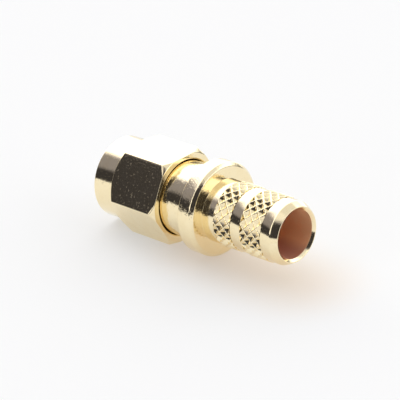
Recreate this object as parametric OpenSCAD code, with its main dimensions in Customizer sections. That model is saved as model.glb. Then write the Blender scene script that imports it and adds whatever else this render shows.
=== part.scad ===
// SMA cable plug, straight crimp pattern: a turned body with a knurled crimp stem, and a hexagonal
// coupling nut that turns freely on it behind a C-shaped ring.
// The axis is X. The mating end looks along -X, the cable leaves along +X, and +Z is up.
// The origin is the reference plane, where the front of the sleeve seats in the mating socket.

/* [Mating end] */
// Nominal thread diameter of the coupling, 1/4 inch
thread_d = 6.35; // [6.2:0.01:6.5]
// Outer diameter of the contact sleeve
sleeve_d = 4.57; // [4.4:0.01:4.6]
// Wall of the contact sleeve
sleeve_wall = 0.22; // [0.18:0.01:0.3]
// Distance from the reference plane back to the shoulder that the gasket sits on
gasket_seat = 2.6; // [2.3:0.05:3]
// Diameter of the centre pin
pin_d = 0.92; // [0.8:0.01:1]
// How far the centre pin stands in front of the reference plane
pin_reach = 1.9; // [1.3:0.05:2.2]

/* [Coupling nut] */
// Width of the hexagon across its flats
nut_across_flats = 8; // [7.9:0.05:9]
// Length of the hexagon
hex_length = 5.8; // [5.5:0.1:7]
// Radius that the front corner chamfers leave inside each flat on the end face
hex_chamfer_margin = 0.05; // [0.02:0.01:0.2]
// Radius that the slighter rear corner chamfers leave outside each flat on the end face
hex_rear_margin = 0.18; // [0:0.01:0.3]
// Diameter of the round snout in front of the hexagon
snout_d = 7.6; // [7.2:0.05:7.8]
// Length of the snout
snout_length = 2.4; // [1.5:0.1:3]
// Chamfer on the snout's front edge
snout_chamfer = 0.12; // [0.05:0.01:0.25]
// How far the nut's front stands in front of the reference plane
nut_reach = 2.3; // [2.2:0.05:2.6]
// Length of the threaded bore
thread_length = 3.8; // [3:0.1:4.2]
// Chamfer at the mouth of the threaded bore
thread_lead = 0.25; // [0.1:0.01:0.3]
// Chamfer at the rear mouth of the nut
nut_rear_lead = 0.12; // [0.05:0.01:0.25]

/* [Body] */
// Diameter of the barrel that holds the retaining ring
barrel_d = 6.3; // [6.2:0.02:6.5]
// Diameter of the neck behind the nut
neck_d = 7; // [6.8:0.02:7.2]
// How far the neck reaches into the back of the nut
neck_depth = 1.2; // [0.8:0.05:1.5]
// Length of neck that shows between the nut and the flange
neck_length = 2.9; // [1.5:0.1:5]
// Diameter of the flange
flange_d = 8.77; // [8:0.01:10]
// Width of the flange
flange_width = 1.75; // [1:0.05:3]
// Chamfer on the flange's rear edge, across the face
flange_bevel = 0.3; // [0.1:0.02:0.5]
// Chamfer on the flange's front edge
flange_front_bevel = 0.12; // [0.05:0.01:0.4]

/* [Crimp stem] */
// Diameter of the stem's plain stretches
stem_d = 5.9; // [5.6:0.02:6.2]
// Diameter of the bore that the cable's core goes into
stem_bore_d = 4.52; // [4.4:0.02:4.7]
// Depth of that bore
cable_depth = 9.2; // [6:0.1:9.4]
// Diameter of the cavity round the solder cup
cavity_d = 3.8; // [3.4:0.05:4]
// Plain stretch between the flange and the first knurled band
root_length = 1.35; // [0.8:0.05:3]
// Length of the first knurled band
front_band_length = 2; // [1:0.05:4]
// Plain stretch between the two bands
band_gap = 1.15; // [0.5:0.05:3]
// Length of the second knurled band
rear_band_length = 2.4; // [1:0.05:4]
// Stretch behind the second band, up to the stem's end
tail_length = 1.75; // [1:0.05:3]
// Length of the taper on the stem's end
taper_length = 0.65; // [0.3:0.05:0.9]
// Width of the flat rim at the stem's end
rim_width = 0.08; // [0.04:0.01:0.12]
// Chamfer inside the stem's mouth
mouth_chamfer = 0.24; // [0.1:0.01:0.3]

/* [Knurl] */
// Number of pits round the stem
knurl_pits = 19; // [12:1:30]
// Distance between pits along the stem
knurl_pitch = 0.94; // [0.6:0.02:1.6]
// Depth of a pit below the crests
knurl_depth = 0.32; // [0.1:0.01:0.35]
// Height of the crests above the plain stem
knurl_proud = 0.08; // [0.02:0.01:0.1]
// Depth of the turned seat below the pits
knurl_seat = 0.08; // [0.03:0.01:0.1]
// Width of the plain run-out at each end of a band
knurl_runout = 0.03; // [0.02:0.01:0.1]
// Angle about the axis from the +Y side to a row of pits
knurl_turn = 15.7; // [0:0.1:30]

/* [Retaining ring] */
// Thickness of the ring along the axis
ring_thickness = 0.45; // [0.3:0.05:0.6]
// Width of the ring across its section
ring_width = 0.62; // [0.5:0.01:0.66]
// How deep the ring sits in the barrel
ring_sink = 0.35; // [0.2:0.01:0.4]
// Angle of the gap between the ring's ends
ring_gap = 40; // [20:5:90]

/* [Gasket] */
// Thickness of the gasket
gasket_thickness = 0.8; // [0.5:0.05:1.2]
// Depth of the sleeve's shallow neck that holds the gasket
gasket_neck = 0.06; // [0.02:0.01:0.08]

/* [Insulator] */
// Length of the insulator, from the sleeve's front to the shoulder behind it
insulator_length = 5; // [4:0.1:6]

/* [Centre contact] */
// Diameter of the contact inside the insulator
contact_d = 1.27; // [1.1:0.01:1.5]
// Diameter of the pin's blunt nose
nose_d = 0.4; // [0.2:0.05:0.6]
// Length of the taper behind the nose
nose_length = 0.45; // [0.2:0.05:0.8]
// Diameter of the solder cup at the back
cup_d = 1.66; // [1.6:0.02:2.2]
// Length of the solder cup
cup_length = 4.6; // [3:0.1:5]
// Diameter of the hole for the cable's conductor
cup_bore_d = 1; // [0.6:0.05:1.2]
// Depth of that hole
cup_bore_depth = 2.4; // [1.5:0.1:2.6]
// Diameter of the inspection hole across the cup
peep_d = 0.5; // [0.3:0.05:0.6]

/* [Fits] */
// Gap all round where the nut turns on the body, and round the ring
running_clearance = 0.05; // [0.02:0.01:0.08]
// Gap all round between the gasket and the nut's bore
gasket_clearance = 0.16; // [0.1:0.01:0.3]
// Gap all round between the thread's bore and its nominal diameter
thread_clearance = 0.015; // [0.01:0.005:0.03]
// Gap all round between pieces that are pressed or pushed together
seat_clearance = 0.01; // [0.005:0.005:0.02]
// How far the nut can shift along the axis, each way
end_play = 0.1; // [0.05:0.01:0.15]

/* [Hidden] */
$fn = 96;

// Stations along the axis
nut_front_x = -nut_reach;
hex_front_x = nut_front_x + snout_length;
nut_rear_x = hex_front_x + hex_length;
neck_front_x = nut_rear_x - neck_depth;
flange_front_x = nut_rear_x + neck_length;
flange_rear_x = flange_front_x + flange_width;
front_band_x = flange_rear_x + root_length;
front_end_x = front_band_x + front_band_length;
rear_band_x = front_end_x + band_gap;
rear_end_x = rear_band_x + rear_band_length;
stem_end_x = rear_end_x + tail_length;
cable_stop_x = stem_end_x - cable_depth;
gasket_x = gasket_seat - gasket_thickness;
ring_x = (gasket_seat + neck_front_x - ring_thickness) / 2;

// Radii
sleeve_r = sleeve_d / 2;
sleeve_bore_r = sleeve_r - sleeve_wall;
gasket_neck_r = sleeve_r - gasket_neck;
cavity_r = cavity_d / 2;
barrel_r = barrel_d / 2;
neck_r = neck_d / 2;
flange_r = flange_d / 2;
stem_r = stem_d / 2;
stem_bore_r = stem_bore_d / 2;
mouth_r = stem_bore_r + mouth_chamfer;
stem_tip_r = mouth_r + rim_width;
ring_inner_r = barrel_r - ring_sink;
ring_outer_r = ring_inner_r + ring_width;
thread_bore_r = thread_d / 2 + thread_clearance;
nut_barrel_r = barrel_r + running_clearance;
nut_neck_r = neck_r + running_clearance;
contact_r = contact_d / 2;

// The knurl: crests, pits, the seat under the band and the band's hidden inner wall
knurl_crest_r = stem_r + knurl_proud;
knurl_pit_r = knurl_crest_r - knurl_depth;
knurl_seat_r = knurl_pit_r - knurl_seat;
knurl_inner_r = (knurl_seat_r + stem_bore_r) / 2;
// Quarter pitches of the pattern that each band leaves out in front
front_band_phase = 3;
rear_band_phase = 0;

gold = "#e3bd68";
pale_gold = "#e9c877";

// A solid of revolution about the X axis, from a profile of [radius, x] points
module turned(profile) {
    rotate([0, 90, 0]) rotate_extrude() polygon(profile);
}

// One band of the crossed knurl: two sets of helical crests make a net, with a four-sided pit in each
// of its meshes. Its grid has four nodes a pitch both ways, so that every crest and crease is an edge.
module knurl_band(x0, x1, phase) {
    columns = 4 * knurl_pits;
    rows = max(2, round(4 * (x1 - x0) / knurl_pitch));
    function from_crest(n) = abs((n % 4) / 2 - 1);
    function fall(i, j) = min(from_crest(i + j), from_crest(i - j + 4 * columns));
    function radius(i, j) = knurl_crest_r - knurl_depth * fall(i, j + phase);
    function angle(i) = knurl_turn + 360 * i / columns;
    function at(x, r, i) = [x, r * cos(angle(i)), r * sin(angle(i))];
    function outer(i, j) = j * columns + i % columns;
    function inner(i, j) = (rows + 1 + j) * columns + i % columns;
    function crest_rises(i, j) = (i + j + phase) % 2 == 0;
    skin = [for (j = [0:rows], i = [0:columns - 1]) at(x0 + (x1 - x0) * j / rows, radius(i, j), i)];
    core = [for (x = [x0, x1], i = [0:columns - 1]) at(x, knurl_inner_r, i)];
    facets = [
        for (j = [0:rows - 1], i = [0:columns - 1], half = [0, 1])
            crest_rises(i, j)
                ? (half == 0
                    ? [outer(i, j), outer(i + 1, j + 1), outer(i + 1, j)]
                    : [outer(i, j), outer(i, j + 1), outer(i + 1, j + 1)])
                : (half == 0
                    ? [outer(i, j), outer(i, j + 1), outer(i + 1, j)]
                    : [outer(i + 1, j), outer(i, j + 1), outer(i + 1, j + 1)])
    ];
    wall = [for (i = [0:columns - 1]) [inner(i, 0), inner(i + 1, 0), inner(i + 1, 1), inner(i, 1)]];
    front = [for (i = [0:columns - 1]) [outer(i, 0), outer(i + 1, 0), inner(i + 1, 0), inner(i, 0)]];
    back = [for (i = [0:columns - 1]) [outer(i + 1, rows), outer(i, rows), inner(i, 1), inner(i + 1, 1)]];
    polyhedron(points = concat(skin, core), faces = concat(facets, wall, front, back));
}

// The turned blank of the body, with a shallow seat under each knurled band
module body_blank() {
    groove_r = ring_inner_r - running_clearance;
    groove_front_x = ring_x - running_clearance;
    groove_rear_x = ring_x + ring_thickness + running_clearance;
    turned([
        // front of the sleeve, gasket shoulder, barrel and ring groove
        [sleeve_bore_r, 0],
        [sleeve_r, 0],
        [sleeve_r, gasket_x],
        [gasket_neck_r, gasket_x],
        [gasket_neck_r, gasket_seat],
        [barrel_r, gasket_seat],
        [barrel_r, groove_front_x],
        [groove_r, groove_front_x],
        [groove_r, groove_rear_x],
        [barrel_r, groove_rear_x],
        [barrel_r, neck_front_x],
        // neck and flange
        [neck_r, neck_front_x],
        [neck_r, flange_front_x],
        [flange_r - flange_front_bevel, flange_front_x],
        [flange_r, flange_front_x + flange_front_bevel],
        [flange_r, flange_rear_x - flange_bevel],
        [flange_r - flange_bevel, flange_rear_x],
        // crimp stem with the seats of its two bands
        [stem_r, flange_rear_x],
        [stem_r, front_band_x],
        [knurl_seat_r, front_band_x],
        [knurl_seat_r, front_end_x],
        [stem_r, front_end_x],
        [stem_r, rear_band_x],
        [knurl_seat_r, rear_band_x],
        [knurl_seat_r, rear_end_x],
        [stem_r, rear_end_x],
        [stem_r, stem_end_x - taper_length],
        [stem_tip_r, stem_end_x],
        // mouth and bore, back to the sleeve
        [mouth_r, stem_end_x],
        [stem_bore_r, stem_end_x - mouth_chamfer],
        [stem_bore_r, cable_stop_x],
        [cavity_r, cable_stop_x],
        [cavity_r, insulator_length],
        [sleeve_bore_r, insulator_length]
    ]);
}

module body() {
    color(gold) union() {
        body_blank();
        knurl_band(front_band_x + knurl_runout, front_end_x - knurl_runout, front_band_phase);
        knurl_band(rear_band_x + knurl_runout, rear_end_x - knurl_runout, rear_band_phase);
    }
}

// The nut's hexagon, its corners turned back at 45 degrees: to a circle just inside the flats in front,
// and to one just outside them behind
module nut_hexagon() {
    flat_r = nut_across_flats / 2;
    corner_r = flat_r / cos(30);
    front_face_r = flat_r - hex_chamfer_margin;
    rear_face_r = flat_r + hex_rear_margin;
    front_cut = corner_r - front_face_r;
    rear_cut = corner_r - rear_face_r;
    intersection() {
        translate([hex_front_x, 0, 0]) rotate([0, 90, 0]) rotate([0, 0, 30])
            cylinder(r = corner_r, h = hex_length, $fn = 6);
        turned([
            [0, hex_front_x],
            [front_face_r, hex_front_x],
            [corner_r + front_cut, hex_front_x + 2 * front_cut],
            [corner_r + rear_cut, nut_rear_x - 2 * rear_cut],
            [rear_face_r, nut_rear_x],
            [0, nut_rear_x]
        ]);
    }
}

module nut_snout() {
    snout_r = snout_d / 2;
    turned([
        [0, nut_front_x],
        [snout_r - snout_chamfer, nut_front_x],
        [snout_r, nut_front_x + snout_chamfer],
        [snout_r, hex_front_x + hex_length / 2],
        [0, hex_front_x + hex_length / 2]
    ]);
}

// Everything that is bored out of the nut: threaded mouth, barrel bore, ring groove and neck bore
module nut_bore() {
    past = 1;
    groove_r = ring_outer_r + running_clearance;
    thread_end_x = nut_front_x + thread_length;
    neck_floor_x = neck_front_x - end_play;
    turned([
        [0, nut_front_x - past],
        [thread_bore_r + thread_lead + past, nut_front_x - past],
        [thread_bore_r, nut_front_x + thread_lead],
        [thread_bore_r, thread_end_x],
        [nut_barrel_r, thread_end_x],
        [nut_barrel_r, ring_x - end_play],
        [groove_r, ring_x - end_play],
        [groove_r, ring_x + ring_thickness + end_play],
        [nut_barrel_r, ring_x + ring_thickness + end_play],
        [nut_barrel_r, neck_floor_x],
        [nut_neck_r, neck_floor_x],
        [nut_neck_r, nut_rear_x - nut_rear_lead],
        [nut_neck_r + nut_rear_lead + past, nut_rear_x + past],
        [0, nut_rear_x + past]
    ]);
}

module coupling_nut() {
    color(pale_gold) difference() {
        union() {
            nut_hexagon();
            nut_snout();
        }
        nut_bore();
    }
}

// A flat C of spring bronze, half in the barrel's groove and half in the nut's
module retaining_ring() {
    color("#b98a4e") rotate([0, 90, 0]) rotate([0, 0, ring_gap / 2]) rotate_extrude(angle = 360 - ring_gap)
        translate([ring_inner_r, ring_x]) square([ring_width, ring_thickness]);
}

// A soft ring in the sleeve's shallow neck, against the barrel's shoulder
module gasket() {
    inner_r = gasket_neck_r + seat_clearance;
    outer_r = thread_bore_r - gasket_clearance;
    color("#c8553a") turned([
        [inner_r, gasket_x + seat_clearance],
        [outer_r, gasket_x + seat_clearance],
        [outer_r, gasket_seat],
        [inner_r, gasket_seat]
    ]);
}

// A white bead, flush with the sleeve's front and seated on the body's inner shoulder
module insulator() {
    hole_r = contact_r + seat_clearance;
    outer_r = sleeve_bore_r - seat_clearance;
    color("#f4f2ea") turned([
        [hole_r, 0],
        [outer_r, 0],
        [outer_r, insulator_length],
        [hole_r, insulator_length]
    ]);
}

// Pin in front, shank through the insulator and a cup for the cable's conductor behind
module centre_contact() {
    pin_r = pin_d / 2;
    cup_r = cup_d / 2;
    cup_end_x = insulator_length + cup_length;
    peep_x = cup_end_x - cup_bore_depth / 2;
    color(gold) difference() {
        turned([
            [0, -pin_reach],
            [nose_d / 2, -pin_reach],
            [pin_r, nose_length - pin_reach],
            [pin_r, 0],
            [contact_r, 0],
            [contact_r, insulator_length],
            [cup_r, insulator_length],
            [cup_r, cup_end_x],
            [cup_bore_d / 2, cup_end_x],
            [cup_bore_d / 2, cup_end_x - cup_bore_depth],
            [0, cup_end_x - cup_bore_depth]
        ]);
        translate([peep_x, 0, 0]) cylinder(d = peep_d, h = cup_d);
    }
}

body();
coupling_nut();
retaining_ring();
gasket();
insulator();
centre_contact();
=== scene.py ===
import math

import bpy
from mathutils import Matrix, Vector


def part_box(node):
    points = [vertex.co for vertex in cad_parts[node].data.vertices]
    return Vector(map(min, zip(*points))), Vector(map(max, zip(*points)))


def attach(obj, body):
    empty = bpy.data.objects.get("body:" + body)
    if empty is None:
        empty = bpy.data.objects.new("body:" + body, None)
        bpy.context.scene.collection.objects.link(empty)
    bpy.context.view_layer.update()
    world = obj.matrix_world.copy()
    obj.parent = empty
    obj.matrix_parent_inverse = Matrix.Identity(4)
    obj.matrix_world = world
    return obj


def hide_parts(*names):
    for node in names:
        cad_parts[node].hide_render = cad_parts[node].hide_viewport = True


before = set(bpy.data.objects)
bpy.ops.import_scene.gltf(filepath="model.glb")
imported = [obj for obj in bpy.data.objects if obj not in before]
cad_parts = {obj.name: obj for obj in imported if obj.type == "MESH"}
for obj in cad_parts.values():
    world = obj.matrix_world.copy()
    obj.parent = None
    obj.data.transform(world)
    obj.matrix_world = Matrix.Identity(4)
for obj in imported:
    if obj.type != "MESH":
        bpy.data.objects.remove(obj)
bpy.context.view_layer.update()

# ---------------------------------------------------------------- sizes, in millimetres
# The axis is X: the mating end looks along -X and the cable leaves along +X.

MM = 0.001


def box_mm(node):
    """The two far corners of a CAD node's box."""
    low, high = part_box(node)
    return low / MM, high / MM


body_low, body_high = box_mm("body")
nut_low, nut_high = box_mm("coupling_nut")
gasket_low, gasket_high = box_mm("gasket")
insulator_low, insulator_high = box_mm("insulator")
ring_low, ring_high = box_mm("retaining_ring")

# Stations along the axis
NUT_FRONT = nut_low.x
NUT_REAR = nut_high.x
SNOUT_LENGTH = 2.4
HEX_FRONT = NUT_FRONT + SNOUT_LENGTH
NECK_DEPTH = 1.2
NECK_FRONT = NUT_REAR - NECK_DEPTH
FLANGE_FRONT = NUT_REAR + 2.9
FLANGE_REAR = FLANGE_FRONT + 1.75
FRONT_BAND = (FLANGE_REAR + 1.35, FLANGE_REAR + 3.35)
REAR_BAND = (FRONT_BAND[1] + 1.15, FRONT_BAND[1] + 3.55)
STEM_END = body_high.x
TAPER_START = STEM_END - 0.65
CABLE_STOP = STEM_END - 9.2
SHOULDER = gasket_high.x
THREAD_BORE_END = NUT_FRONT + 3.8

# Chamfers
FLANGE_BEVEL = 0.3
FLANGE_FRONT_BEVEL = 0.12
MOUTH_CHAMFER = 0.24
SNOUT_CHAMFER = 0.12
THREAD_LEAD = 0.25
NUT_REAR_LEAD = 0.12

# Gaps between pieces
CLEARANCE = 0.05
SEAT_GAP = 0.01
END_PLAY = 0.1

# Radii. The hexagon's front and rear faces end at circles, where its turned chamfers start.
SLEEVE_R = 2.285
SLEEVE_BORE_R = 2.065
GASKET_NECK_R = 2.225
CAVITY_R = 1.9
BARREL_R = 3.15
NECK_R = 3.5
FLANGE_R = body_high.z
STEM_R = 2.95
STEM_BORE_R = 2.26
MOUTH_R = STEM_BORE_R + MOUTH_CHAMFER
STEM_TIP_R = MOUTH_R + 0.08
SNOUT_R = 3.8
THREAD_R = 3.19
HEX_FLAT_R = nut_high.z
HEX_FRONT_R = HEX_FLAT_R - 0.05
HEX_REAR_R = HEX_FLAT_R + 0.18
RING_INNER_R = ring_high.z - 0.62
BEAD_HOLE_R = 0.645

# Knurl: pits round the stem, distance between pits along it, and the radii of crests and pits.
# The flat is the crests' share that stays level. The bands stop short of the plain stem by the runout,
# and the stem's core lies under the pits by the seat.
KNURL_PITS = 19
KNURL_PITCH = 0.94
KNURL_CREST_R = STEM_R + 0.08
KNURL_DEPTH = 0.32
KNURL_PIT_R = KNURL_CREST_R - KNURL_DEPTH
KNURL_FLAT = 0.08
KNURL_RUNOUT = 0.03
KNURL_SEAT = 0.08
KNURL_TURN = math.radians(15.7)
FRONT_PHASE = 3
REAR_PHASE = 0

# Thread: 36 turns to the inch. Its ridges fade out at both ends.
THREAD_PITCH = 25.4 / 36
THREAD_DEPTH = 0.3
THREAD_START = NUT_FRONT + THREAD_LEAD
THREAD_END = THREAD_BORE_END - 0.2
THREAD_FADE = 0.25

# Radii of softened edges
EDGE = 0.03
HEX_EDGE = 0.06


# ---------------------------------------------------------------- profiles


def softened(profile, radius=EDGE, steps=4):
    """A closed outline of (x, r) points with its corners rounded. A third value is a corner's own radius.

    A corner that turns less than 8 degrees stays, and no corner takes more than 45% of an edge beside it.
    """
    rounded = []
    count = len(profile)
    for k in range(count):
        before = Vector(profile[k - 1][:2])
        here = Vector(profile[k][:2])
        after = Vector(profile[(k + 1) % count][:2])
        wanted = profile[k][2] if len(profile[k]) > 2 else radius
        back, ahead = before - here, after - here
        turn = math.pi - back.angle(ahead)
        if wanted <= 0 or turn < math.radians(8):
            rounded.append(tuple(here))
            continue
        reach = min(wanted * math.tan(turn / 2), back.length * 0.45, ahead.length * 0.45)
        start = here + back.normalized() * reach
        end = here + ahead.normalized() * reach
        for step in range(steps + 1):
            t = step / steps
            curve = start * (1 - t) ** 2 + here * 2 * t * (1 - t) + end * t ** 2
            rounded.append(tuple(curve))
    return rounded


def between(start, end, count):
    """count + 1 evenly spaced values from start to end."""
    return [start + (end - start) * k / count for k in range(count + 1)]


def polar(x, radius, angle):
    """The point in metres at that place along the axis, radius and angle from +Y to +Z."""
    return Vector((x, radius * math.cos(angle), radius * math.sin(angle))) * MM


# ---------------------------------------------------------------- meshes


def mesh_piece(name, points, faces, materials, slots=None):
    """An object from points in metres, shaded smooth apart from edges that turn 28 degrees or more."""
    mesh = bpy.data.meshes.new(name)
    mesh.from_pydata(points, [], faces)
    mesh.validate()
    for material in materials:
        mesh.materials.append(material)
    if slots:
        mesh.polygons.foreach_set("material_index", slots)
    mesh.polygons.foreach_set("use_smooth", [True] * len(mesh.polygons))
    mesh.set_sharp_from_angle(angle=math.radians(28))
    piece = bpy.data.objects.new(name, mesh)
    bpy.context.scene.collection.objects.link(piece)
    weighted = piece.modifiers.new("weighted_normals", "WEIGHTED_NORMAL")
    weighted.keep_sharp = True
    return piece


def ring_faces(rows, columns):
    """Quads of a grid that closes on itself both ways."""
    faces = []
    for j in range(rows):
        here, beyond = j * columns, (j + 1) % rows * columns
        for i in range(columns):
            after = (i + 1) % columns
            faces.append((here + i, here + after, beyond + after, beyond + i))
    return faces


def revolved(profile, columns):
    """Points and faces of a closed profile turned about the X axis."""
    angles = [2 * math.pi * i / columns for i in range(columns)]
    points = [polar(x, r, angle) for x, r in profile for angle in angles]
    return points, ring_faces(len(profile), columns)


def knurl_height(u, v):
    """Radius of the knurl. Crests cross as a net, with a four-sided pit in each mesh.

    u runs round the stem and v along it, and both grow by 2 from one pit to the next.
    """
    def from_crest(value):
        return abs(value % 2 - 1)

    depth = min(from_crest(u + v), from_crest(u - v))
    return KNURL_CREST_R - KNURL_DEPTH * max(0, depth - KNURL_FLAT)


def knurl_band(x0, x1, phase, steps=4):
    """Points and faces of one knurled ring. Its inner wall lies hidden in the stem.

    A pit spans four cells each way, a cell has that many steps, and phase shifts the net by whole cells.
    """
    columns = 4 * KNURL_PITS * steps
    rows = round(4 * (x1 - x0) / KNURL_PITCH) * steps + 1
    angles = [KNURL_TURN + 2 * math.pi * i / columns for i in range(columns)]
    points = []
    for j in range(rows):
        x, v = x0 + (x1 - x0) * j / (rows - 1), (j / steps + phase) / 2
        points += [polar(x, knurl_height(i / steps / 2, v), angles[i]) for i in range(columns)]
    inner_r = (KNURL_PIT_R + STEM_BORE_R) / 2
    points += [polar(x, inner_r, angle) for x in (x1, x0) for angle in angles]
    faces = []
    for j in range(rows - 1):
        for i in range(columns):
            a, b = j * columns + i, j * columns + (i + 1) % columns
            c, d = b + columns, a + columns
            crest_falls = (i // steps + j // steps + phase) % 2 == 1
            faces += [(a, b, d), (b, c, d)] if crest_falls else [(a, b, c), (a, c, d)]
    # both ends and the inner wall close the ring
    closing = ring_faces(rows + 2, columns)[-3 * columns:]
    return points, faces + closing


def body_piece(gold, bore_metal):
    """The body: one turned profile, with the knurled bands set into grooves in its stem."""
    groove_r = RING_INNER_R - CLEARANCE
    groove = (ring_low.x - CLEARANCE, ring_high.x + CLEARANCE)
    seat_r = KNURL_PIT_R - KNURL_SEAT
    outline = [
        (0, SLEEVE_R),
        (gasket_low.x, SLEEVE_R),
        (gasket_low.x, GASKET_NECK_R),
        (SHOULDER, GASKET_NECK_R),
        (SHOULDER, BARREL_R, 0.1),
        (groove[0], BARREL_R),
        (groove[0], groove_r),
        (groove[1], groove_r),
        (groove[1], BARREL_R),
        (NECK_FRONT, BARREL_R),
        (NECK_FRONT, NECK_R),
        (FLANGE_FRONT, NECK_R, 0.02),
        (FLANGE_FRONT, FLANGE_R - FLANGE_FRONT_BEVEL),
        (FLANGE_FRONT + FLANGE_FRONT_BEVEL, FLANGE_R, 0.1),
        (FLANGE_REAR - FLANGE_BEVEL, FLANGE_R, 0.2),
        (FLANGE_REAR, FLANGE_R - FLANGE_BEVEL, 0.15),
        (FLANGE_REAR, STEM_R, 0.02),
        (FRONT_BAND[0], STEM_R),
        (FRONT_BAND[0], seat_r, 0),
        (FRONT_BAND[1], seat_r, 0),
        (FRONT_BAND[1], STEM_R),
        (REAR_BAND[0], STEM_R),
        (REAR_BAND[0], seat_r, 0),
        (REAR_BAND[1], seat_r, 0),
        (REAR_BAND[1], STEM_R),
        (TAPER_START, STEM_R, 0.3),
        (STEM_END, STEM_TIP_R),
        (STEM_END, MOUTH_R, 0.02),
        (STEM_END - MOUTH_CHAMFER, STEM_BORE_R, 0.05),
        (CABLE_STOP, STEM_BORE_R),
        (CABLE_STOP, CAVITY_R),
        (insulator_high.x, CAVITY_R),
        (insulator_high.x, SLEEVE_BORE_R),
        (0, SLEEVE_BORE_R),
    ]
    profile = softened(outline)
    columns = 320
    points, faces = revolved(profile, columns)
    in_bore = [r < STEM_BORE_R + EDGE and x > CABLE_STOP - EDGE for x, r in profile]
    slots = [int(picked) for picked in in_bore for _ in range(columns)]
    for (start, end), phase in ((FRONT_BAND, FRONT_PHASE), (REAR_BAND, REAR_PHASE)):
        band_points, band_faces = knurl_band(start + KNURL_RUNOUT, end - KNURL_RUNOUT, phase)
        faces += [tuple(k + len(points) for k in face) for face in band_faces]
        points += band_points
        slots += [0] * len(band_faces)
    piece = mesh_piece("plug_body", points, faces, [gold, bore_metal], slots)
    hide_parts("body")
    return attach(piece, "plug_body")


def hexagon_outline(flat_steps=30, corner_steps=4):
    """(angle, radius) of points round the hexagon, flats up and down, with its corners a little rounded."""
    reach = (HEX_FLAT_R - HEX_EDGE) / math.cos(math.radians(30))
    corners = []
    for k in range(6):
        middle = math.radians(60 * k)
        centre = Vector((math.cos(middle), math.sin(middle))) * reach
        for turn in between(-30, 30, corner_steps):
            angle = middle + math.radians(turn)
            corners.append(centre + Vector((math.cos(angle), math.sin(angle))) * HEX_EDGE)
    outline = []
    for k, here in enumerate(corners):
        after = corners[(k + 1) % len(corners)]
        steps = flat_steps if k % (corner_steps + 1) == corner_steps else 1
        outline += [here.lerp(after, step / steps) for step in range(steps)]
    return [(math.atan2(p.y, p.x), p.length) for p in outline]


def thread_ridge(x, angle):
    """Height of the nut's thread, a V ridge that fades out at both ends.

    Its flat crest takes about a quarter of the pitch, and its root a tenth.
    """
    phase = (x / THREAD_PITCH - angle / (2 * math.pi)) % 1
    peak = 1 - abs(2 * phase - 1)
    ridge = min(1, max(0, 1.5 * peak - 0.15))
    fade = min(1, max(0, min(x - THREAD_START, THREAD_END - x) / THREAD_FADE))
    return THREAD_DEPTH * ridge * fade


def coupling_nut_piece(gold):
    """The nut: a profile swept round the hexagon, whose chamfers cut the corners back to circles."""
    barrel_bore, neck_bore = BARREL_R + CLEARANCE, NECK_R + CLEARANCE
    groove_r = ring_high.z + CLEARANCE
    groove = (ring_low.x - END_PLAY, ring_high.x + END_PLAY)
    neck_floor = NECK_FRONT - END_PLAY
    thread_rows = between(THREAD_END, THREAD_START, 66)
    columns = []
    for angle, hex_r in hexagon_outline():
        front_cut = hex_r - HEX_FRONT_R
        rear_cut = max(HEX_EDGE / 2, hex_r - HEX_REAR_R)
        profile = softened([
            (THREAD_START, THREAD_R, 0),
            (NUT_FRONT, THREAD_R + THREAD_LEAD),
            (NUT_FRONT, SNOUT_R - SNOUT_CHAMFER),
            (NUT_FRONT + SNOUT_CHAMFER, SNOUT_R, 0.08),
            (HEX_FRONT, SNOUT_R, 0.05),
            (HEX_FRONT, HEX_FRONT_R),
            (HEX_FRONT + front_cut, hex_r, 0.05),
            (NUT_REAR - rear_cut, hex_r, 0.35),
            (NUT_REAR, hex_r - rear_cut, 0.12),
            (NUT_REAR, neck_bore + NUT_REAR_LEAD, 0.15),
            (NUT_REAR - NUT_REAR_LEAD, neck_bore, 0.15),
            (neck_floor, neck_bore),
            (neck_floor, barrel_bore),
            (groove[1], barrel_bore),
            (groove[1], groove_r),
            (groove[0], groove_r),
            (groove[0], barrel_bore),
            (THREAD_BORE_END, barrel_bore),
            (THREAD_BORE_END, THREAD_R, 0),
        ])
        profile += [(x, THREAD_R - thread_ridge(x, angle)) for x in thread_rows[:-1]]
        columns.append([polar(x, r, angle) for x, r in profile])
    rows = len(columns[0])
    points = [column[j] for j in range(rows) for column in columns]
    piece = mesh_piece("hex_nut", points, ring_faces(rows, len(columns)), [gold])
    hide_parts("coupling_nut")
    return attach(piece, "nut")


def gasket_piece(rubber):
    """The soft ring, with well rounded corners."""
    gasket_r, inner_r = gasket_high.z, GASKET_NECK_R + SEAT_GAP
    outline = [
        (gasket_low.x, inner_r, 0.1),
        (gasket_low.x, gasket_r, 0.25),
        (SHOULDER, gasket_r, 0.25),
        (SHOULDER, inner_r, 0.1),
    ]
    points, faces = revolved(softened(outline, steps=6), 256)
    piece = mesh_piece("seal_ring", points, faces, [rubber])
    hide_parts("gasket")
    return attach(piece, "plug_body")


def insulator_piece(bead):
    """The white bead, a plain tube with softened edges."""
    bead_r = insulator_high.z
    outline = [
        (insulator_low.x, BEAD_HOLE_R, 0.04),
        (insulator_low.x, bead_r, 0.08),
        (insulator_high.x, bead_r, 0.08),
        (insulator_high.x, BEAD_HOLE_R, 0.04),
    ]
    points, faces = revolved(softened(outline), 160)
    piece = mesh_piece("white_bead", points, faces, [bead])
    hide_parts("insulator")
    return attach(piece, "plug_body")


# ---------------------------------------------------------------- materials


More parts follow.
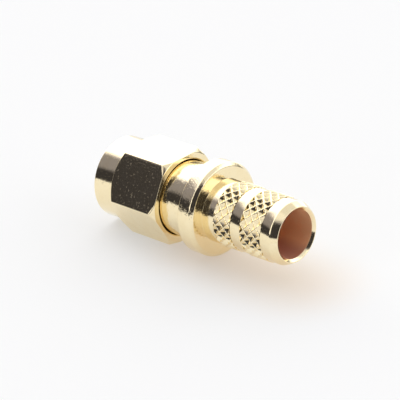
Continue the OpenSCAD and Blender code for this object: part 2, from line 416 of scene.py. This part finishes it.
class Shader:
    """A small helper that builds the node tree of its owner, a material or a world."""

    def __init__(self, owner, output):
        owner.use_nodes = True
        self.owner = owner
        self.tree = owner.node_tree
        self.tree.nodes.clear()
        self.output = self.node(output)

    def node(self, kind, inputs=None, **settings):
        """A new node with those settings, and its inputs by name or number."""
        made = self.tree.nodes.new(kind)
        for key, value in settings.items():
            setattr(made, key, value)
        for key, value in (inputs or {}).items():
            self.put(made.inputs[key], value)
        return made

    def put(self, socket, value):
        """Links value to the socket if it is another node's output, or else sets it."""
        if isinstance(value, bpy.types.NodeSocket):
            self.tree.links.new(value, socket)
        else:
            socket.default_value = value

    def math(self, operation, *values):
        made = self.node("ShaderNodeMath", dict(enumerate(values)), operation=operation)
        return made.outputs[0]

    def product(self, first, *others):
        """All those values multiplied together."""
        for other in others:
            first = self.math("MULTIPLY", first, other)
        return first

    def opposite(self, value):
        """1 where value is 0, and 0 where it is 1."""
        return self.math("SUBTRACT", 1.0, value)

    def steps(self, value, low, high, to_low=0.0, to_high=1.0):
        """value eased from to_low at low to to_high at high."""
        inputs = {"Value": value, "From Min": low, "From Max": high, "To Min": to_low, "To Max": to_high}
        made = self.node("ShaderNodeMapRange", inputs, interpolation_type="SMOOTHSTEP")
        return made.outputs["Result"]

    def blend(self, factor, first, second):
        """first where factor is 0, second where it is 1."""
        inputs = {"Factor": factor, "A": first, "B": second}
        return self.node("ShaderNodeMix", inputs, data_type="FLOAT").outputs["Result"]

    def mix(self, factor, first, second):
        """The colour first where factor is 0, second where it is 1."""
        made = self.node("ShaderNodeMix", data_type="RGBA")
        self.put(made.inputs["Factor"], factor)
        self.put(made.inputs["A"], first)
        self.put(made.inputs["B"], second)
        return made.outputs["Result"]

    def parts(self, vector):
        """X, Y and Z of a vector."""
        return self.node("ShaderNodeSeparateXYZ", {"Vector": vector}).outputs

    def noise(self, vector, scale, detail=3.0, roughness=0.6):
        """Cloudy noise with about that many waves in a metre."""
        inputs = {"Vector": vector, "Scale": scale, "Detail": detail, "Roughness": roughness}
        return self.node("ShaderNodeTexNoise", inputs).outputs["Fac"]

    def bump(self, height, strength, distance, normal=None):
        inputs = {"Height": height, "Strength": strength, "Distance": distance}
        if normal:
            inputs["Normal"] = normal
        return self.node("ShaderNodeBump", inputs).outputs["Normal"]

    def finish(self, shader):
        """Shows that shader on the surface, and returns the material or world."""
        self.put(self.output.inputs["Surface"], shader.outputs[0])
        return self.owner


class TurnedShader(Shader):
    """A material's node tree for a piece round the X axis, with each point's place at hand in metres."""

    def __init__(self, name):
        super().__init__(bpy.data.materials.new(name), "ShaderNodeOutputMaterial")
        self.place = self.node("ShaderNodeTexCoord").outputs["Object"]
        parts = self.parts(self.place)
        across = self.node("ShaderNodeCombineXYZ", {"Y": parts["Y"], "Z": parts["Z"]}).outputs[0]
        self.along, self.up = parts["X"], parts["Z"]
        self.radius = self.node("ShaderNodeVectorMath", {0: across}, operation="LENGTH").outputs["Value"]
        # turning marks change fast along the axis and slowly round it
        slow = self.math("MULTIPLY", self.math("ARCTAN2", parts["Z"], parts["Y"]), 0.0003)
        unrolled = {"X": self.along, "Y": self.radius, "Z": slow}
        self.unrolled = self.node("ShaderNodeCombineXYZ", unrolled).outputs[0]


def gold_material(name, polish, sand):
    """Gold plating on turned brass: fine turning marks, sanded specks, small pits and paler worn edges.

    The specks are twice as strong on the flange's rim and faint on the stem.
    """
    s = TurnedShader(name)
    marks = s.noise(s.unrolled, 22000, detail=2.0)
    grain = s.noise(s.place, 16000, detail=4.0, roughness=0.7)
    patches = s.steps(s.noise(s.place, 900, detail=2.0), 0.3, 0.7)
    pits = s.steps(s.noise(s.place, 3600, detail=1.0), 0.64, 0.7)
    specks = s.steps(s.noise(s.place, 5200, detail=2.0, roughness=0.4), 0.5, 0.72)
    worn = s.steps(s.node("ShaderNodeNewGeometry").outputs["Pointiness"], 0.53, 0.62)
    colour = s.mix(patches, (0.96, 0.83, 0.55, 1), (0.94, 0.80, 0.51, 1))
    colour = s.mix(s.product(worn, 0.35), colour, (0.97, 0.88, 0.68, 1))
    gloss = s.math("ADD", polish, s.product(grain, 0.06))
    gloss = s.math("ADD", gloss, s.product(pits, 0.14))
    coarse = s.steps(s.radius, (FLANGE_R - 0.1) * MM, (FLANGE_R - 0.05) * MM, sand, 2 * sand)
    faint = s.steps(s.along, (FLANGE_REAR + 0.2) * MM, (FLANGE_REAR + 0.6) * MM, 1.0, 0.3)
    normal = s.bump(specks, s.product(coarse, faint), 0.00004)
    normal = s.bump(grain, 0.12, 0.00001, normal)
    normal = s.bump(marks, 0.10, 0.00001, normal)
    normal = s.bump(pits, 0.08, 0.00001, normal)
    surface = s.node("ShaderNodeBsdfPrincipled", {
        "Base Color": colour,
        "Metallic": 1.0,
        "Roughness": gloss,
        "Normal": normal,
    })
    return s.finish(surface)


def bore_material():
    """The stem's bore: thin, dull plating over brass with the drill's turning marks."""
    s = TurnedShader("satin_bore")
    marks = s.noise(s.unrolled, 14000)
    clouds = s.steps(s.noise(s.place, 1500), 0.3, 0.7)
    colour = s.mix(clouds, (0.97, 0.57, 0.32, 1), (0.97, 0.61, 0.36, 1))
    # painted shade: the bore's colour is darker along the top and the bottom, where a real bore lies in
    # shade
    painted_shade = s.steps(s.math("ABSOLUTE", s.up), 0.66 * STEM_BORE_R * MM, STEM_BORE_R * MM)
    colour = s.mix(painted_shade, colour, (0.58, 0.28, 0.20, 1))
    surface = s.node("ShaderNodeBsdfPrincipled", {
        "Base Color": colour,
        "Metallic": 0.2,
        "Roughness": s.math("ADD", 0.4, s.product(marks, 0.15)),
        "Normal": s.bump(marks, 0.3, 0.00001),
    })
    return s.finish(surface)


def bronze_material():
    """Spring bronze, drawn wire with lengthwise scratches."""
    s = TurnedShader("spring_bronze")
    scratches = s.noise(s.unrolled, 30000, detail=2.0)
    clouds = s.noise(s.place, 2000)
    colour = s.mix(clouds, (0.62, 0.38, 0.18, 1), (0.74, 0.48, 0.24, 1))
    surface = s.node("ShaderNodeBsdfPrincipled", {
        "Base Color": colour,
        "Metallic": 1.0,
        "Roughness": s.math("ADD", 0.28, s.product(scratches, 0.1)),
        "Normal": s.bump(scratches, 0.2, 0.00001),
    })
    return s.finish(surface)


def rubber_material():
    """Silicone rubber with a fine moulded skin and a little dust."""
    s = TurnedShader("silicone_rubber")
    skin = s.noise(s.place, 9000, detail=4.0)
    dust = s.steps(s.noise(s.place, 3500, detail=2.0), 0.6, 0.75)
    colour = s.mix(s.product(dust, 0.25), (0.50, 0.075, 0.03, 1), (0.62, 0.28, 0.2, 1))
    surface = s.node("ShaderNodeBsdfPrincipled", {
        "Base Color": colour,
        "Roughness": s.math("ADD", 0.45, s.product(skin, 0.2)),
        "Normal": s.bump(skin, 0.25, 0.00002),
        "Subsurface Weight": 0.15,
        "Subsurface Radius": (0.0008, 0.0003, 0.0002),
        "Subsurface Scale": 1.0,
    })
    return s.finish(surface)


def bead_material():
    """White fluoroplastic: waxy, slightly see-through, with faint lathe rings."""
    s = TurnedShader("white_fluoroplastic")
    rings = s.noise(s.unrolled, 18000, detail=2.0)
    clouds = s.noise(s.place, 1800)
    colour = s.mix(clouds, (0.86, 0.85, 0.81, 1), (0.91, 0.905, 0.88, 1))
    surface = s.node("ShaderNodeBsdfPrincipled", {
        "Base Color": colour,
        "Roughness": s.math("ADD", 0.38, s.product(rings, 0.12)),
        "Normal": s.bump(rings, 0.25, 0.00001),
        "Subsurface Weight": 0.35,
        "Subsurface Radius": (0.0006, 0.0006, 0.0005),
        "Subsurface Scale": 1.0,
    })
    return s.finish(surface)


# ---------------------------------------------------------------- stage, light and camera
# FLOOR_GLOW is the glow's share of the paper that is seen. DIFFUSE_SHARE dims the studio for matte
# surfaces, so that the paper stays below white.

PAPER = (0.9, 0.9, 0.9, 1)
# the warm paper colour is painted light, a tint that stands in for the gold's bounced light on the paper
# near the part
PAINTED_GOLD_BOUNCE = (0.9, 0.82, 0.74, 1)
BACKGROUND = (0.965, 0.965, 0.965, 1)
FLOOR_GLOW = 0.4
DIFFUSE_SHARE = 0.9
CAMERA_AZIMUTH = math.radians(43.3)


def floor_piece():
    """The floor, which the part rests on with the nut's lower flat and the flange's rim."""
    touch_front = Vector((HEX_FRONT + 0.05, 0, nut_low.z)) * MM
    touch_rear = Vector((FLANGE_FRONT + FLANGE_FRONT_BEVEL, 0, body_low.z)) * MM
    along = (touch_rear - touch_front).normalized()
    across = Vector((0, 1, 0))
    half = 150 * MM
    signs = ((-1, -1), (1, -1), (1, 1), (-1, 1))
    corners = [touch_front + half * (a * along + b * across) for a, b in signs]
    mesh = bpy.data.meshes.new("floor")
    mesh.from_pydata(corners, [], [(0, 1, 2, 3)])
    floor = bpy.data.objects.new("floor", mesh)
    bpy.context.scene.collection.objects.link(floor)
    mesh.materials.append(floor_material())


def floor_material():
    """Matte paper. To the camera and in reflections it glows a little, so that it looks nearly white."""
    s = Shader(bpy.data.materials.new("floor_paper"), "ShaderNodeOutputMaterial")
    path = s.node("ShaderNodeLightPath").outputs
    seen = s.math("MAXIMUM", path["Is Camera Ray"], path["Is Glossy Ray"])
    seen = s.math("MAXIMUM", seen, path["Is Transmission Ray"])
    # painted light: the paper under the flange and the stem is tinted warm, a painted glow of the gold's
    # bounced light
    parts = s.parts(s.node("ShaderNodeNewGeometry").outputs["Position"])
    middle, reach = (FLANGE_FRONT + STEM_END) / 2 * MM, (STEM_END - FLANGE_FRONT) / 2 * MM
    beyond = s.math("SUBTRACT", s.math("ABSOLUTE", s.math("SUBTRACT", parts["X"], middle)), reach)
    beyond = s.math("MAXIMUM", 0.0, beyond)
    away = s.math("SQRT", s.math("ADD", s.math("POWER", beyond, 2.0), s.math("POWER", parts["Y"], 2.0)))
    paper_with_painted_bounce = s.mix(s.steps(away, 0.0, 0.008, 1.0, 0.0), PAPER, PAINTED_GOLD_BOUNCE)
    paper = s.node("ShaderNodeBsdfDiffuse", {"Color": paper_with_painted_bounce, "Roughness": 0.0})
    glow = s.node("ShaderNodeEmission", {"Color": paper_with_painted_bounce, "Strength": 1.11})
    share = s.product(seen, FLOOR_GLOW)
    return s.finish(s.node("ShaderNodeMixShader", {0: share, 1: paper.outputs[0], 2: glow.outputs[0]}))


def light_world():
    """A white studio: a bright sweep behind and above, and a dark room on the camera's side."""
    world = bpy.data.worlds.new("studio")
    bpy.context.scene.world = world
    s = Shader(world, "ShaderNodeOutputWorld")
    parts = s.parts(s.node("ShaderNodeTexCoord").outputs["Generated"])
    height = parts["Z"]
    sine, cosine = math.sin(CAMERA_AZIMUTH), math.cos(CAMERA_AZIMUTH)
    # facing is 1 towards the camera's side and -1 away from it, and rightward is 1 to the camera's right
    level = s.math("MAXIMUM", s.math("SQRT", s.opposite(s.product(height, height))), 0.001)
    towards = s.math("SUBTRACT", s.product(parts["X"], sine), s.product(parts["Y"], cosine))
    across = s.math("ADD", s.product(parts["X"], cosine), s.product(parts["Y"], sine))
    facing = s.math("DIVIDE", towards, level)
    rightward = s.math("DIVIDE", across, level)
    # the sweep is brightest beyond the mating end
    sweep = s.steps(parts["X"], -0.45, 0.15, 2.05, 1.0)
    # to the right the room is dark at the table's edge and brightest half way up
    far_side = s.product(s.steps(height, 0.05, 0.4, 0.08, 1.9), s.steps(height, 0.56, 0.72, 1.0, 0.45))
    sweep = s.blend(s.steps(rightward, 0.58, 0.74), sweep, far_side)
    # the dark room: nearly black behind the camera, with a dim grey wall beside it above the floor
    wall = s.product(s.steps(facing, 0.25, 0.55, 1.0, 0.0), s.steps(height, 0.33, 0.44, 0.0, 0.24))
    dark = s.math("ADD", 0.04, wall)
    room = s.product(
        s.steps(facing, -0.72, -0.5),
        s.steps(rightward, 0.58, 0.74, 1.0, 0.0),
        s.steps(height, 0.66, 0.88, 1.0, 0.0),
    )
    # a narrow, tall lamp between the wall and the camera
    lamp = s.product(
        s.steps(rightward, -0.95, -0.9),
        s.steps(rightward, -0.56, -0.5, 1.0, 0.0),
        s.math("GREATER_THAN", facing, 0.25),
        s.steps(height, 0.1, 0.2),
    )
    room = s.product(room, s.opposite(lamp))
    lit = s.blend(room, sweep, dark)
    # the dark room is a little bluer than the sweep
    tint = s.mix(room, (1, 1, 1, 1), (1.0, 0.97, 1.16, 1))
    path = s.node("ShaderNodeLightPath").outputs
    strength = s.product(lit, s.blend(path["Is Diffuse Ray"], 1.0, DIFFUSE_SHARE))
    studio = s.node("ShaderNodeBackground", {"Color": tint, "Strength": strength})
    white = s.node("ShaderNodeBackground", {"Color": BACKGROUND, "Strength": 1.0})
    seen = path["Is Camera Ray"]
    s.finish(s.node("ShaderNodeMixShader", {0: seen, 1: studio.outputs[0], 2: white.outputs[0]}))


def add_camera():
    """A long lens beyond the stem's end, looking down along the part, rolled a little."""
    elevation, roll = math.radians(26.7), math.radians(-4.0)
    distance, aim = 250 * MM, Vector((12.073, -4.466, 3.256)) * MM
    level = Vector((math.cos(CAMERA_AZIMUTH), math.sin(CAMERA_AZIMUTH), 0))
    ahead = Vector((-level.y, level.x, 0)) * math.cos(elevation) - Vector((0, 0, math.sin(elevation)))
    data = bpy.data.cameras.new("camera")
    data.sensor_width = 36
    data.lens = 256.7
    data.clip_start, data.clip_end = 0.01, 10
    camera = bpy.data.objects.new("camera", data)
    bpy.context.scene.collection.objects.link(camera)
    place = Vector((STEM_END, 0, 0)) * MM - ahead * distance
    back = (place - aim).normalized()
    right = Matrix.Rotation(-roll, 3, ahead) @ level
    right = (right - back * right.dot(back)).normalized()
    turn = Matrix((right, back.cross(right), back)).transposed()
    camera.matrix_world = Matrix.Translation(place) @ turn.to_4x4()
    bpy.context.scene.camera = camera


# ---------------------------------------------------------------- the part

nut_gold = gold_material("nut_gold", polish=0.07, sand=0.03)
body_gold = gold_material("body_gold", polish=0.08, sand=0.09)
body_piece(body_gold, bore_material())
coupling_nut_piece(nut_gold)
gasket_piece(rubber_material())
insulator_piece(bead_material())
for node_name, material in (("centre_contact", body_gold), ("retaining_ring", bronze_material())):
    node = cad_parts[node_name]
    node.data.materials.clear()
    node.data.materials.append(material)

floor_piece()
light_world()
add_camera()
bpy.context.scene.view_settings.view_transform = "Standard"
